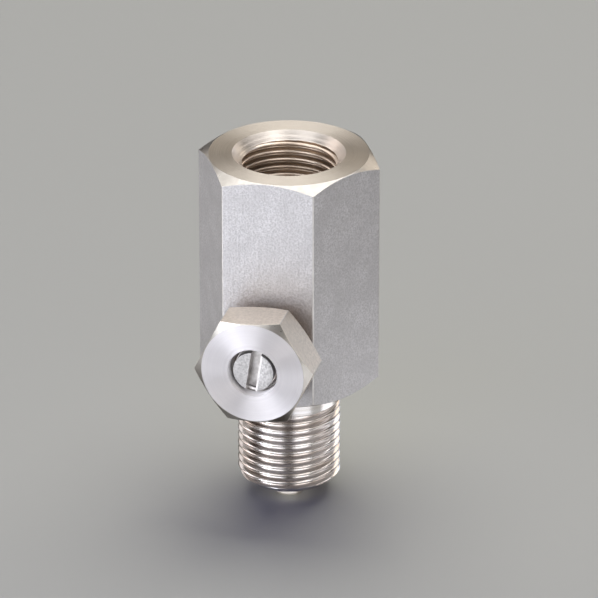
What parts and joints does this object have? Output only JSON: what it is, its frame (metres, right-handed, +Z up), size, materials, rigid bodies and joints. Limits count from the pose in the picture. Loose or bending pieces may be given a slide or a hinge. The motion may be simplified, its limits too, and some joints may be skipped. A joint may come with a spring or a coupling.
{
  "type": "pressure gauge snubber",
  "caption": "Stainless hexagonal pressure gauge snubber with a slotted needle valve in a side bonnet, a female gauge port on top and a male threaded end with a spigot below.",
  "frame": {"origin": "on the axis of the male thread, in the plane of the hexagon's lower shoulder where that thread starts", "axes": "+Z up the common axis of the two threads towards the gauge, -Y along the needle's axis out of the bonnet"},
  "size_m": [0.03, 0.0353, 0.06],
  "materials": {
    "body_steel": "cold drawn hexagon bar with turned ends",
    "bonnet_steel": "turned",
    "needle_steel": "turned",
    "gasket_copper": "annealed copper",
    "seal_rubber": "moulded",
    "backup_plastic": "turned fluoropolymer"
  },
  "bodies": {
    "housing": {"snubber_body": "body_steel", "valve_bonnet": "bonnet_steel", "bonnet_gasket": "gasket_copper"},
    "packing": {"needle_oring": "seal_rubber", "backup_ring": "backup_plastic"},
    "needle": {"metering_needle": "needle_steel"}
  },
  "joints": [
    {"name": "needle_travel", "type": "slide", "parent": "housing", "child": "packing", "axis": [0, 1, 0], "range_m": [-0.0015, 0.001]},
    {"name": "needle_turn", "type": "hinge", "parent": "packing", "child": "needle", "pos_m": [0, -0.01, 0.0103], "axis": [0, 1, 0], "range_deg": [-540, 360]}
  ],
  "couplings": [
    {"joint": "needle_turn", "follows": "needle_travel", "rad_per_m": 6283.2}
  ]
}
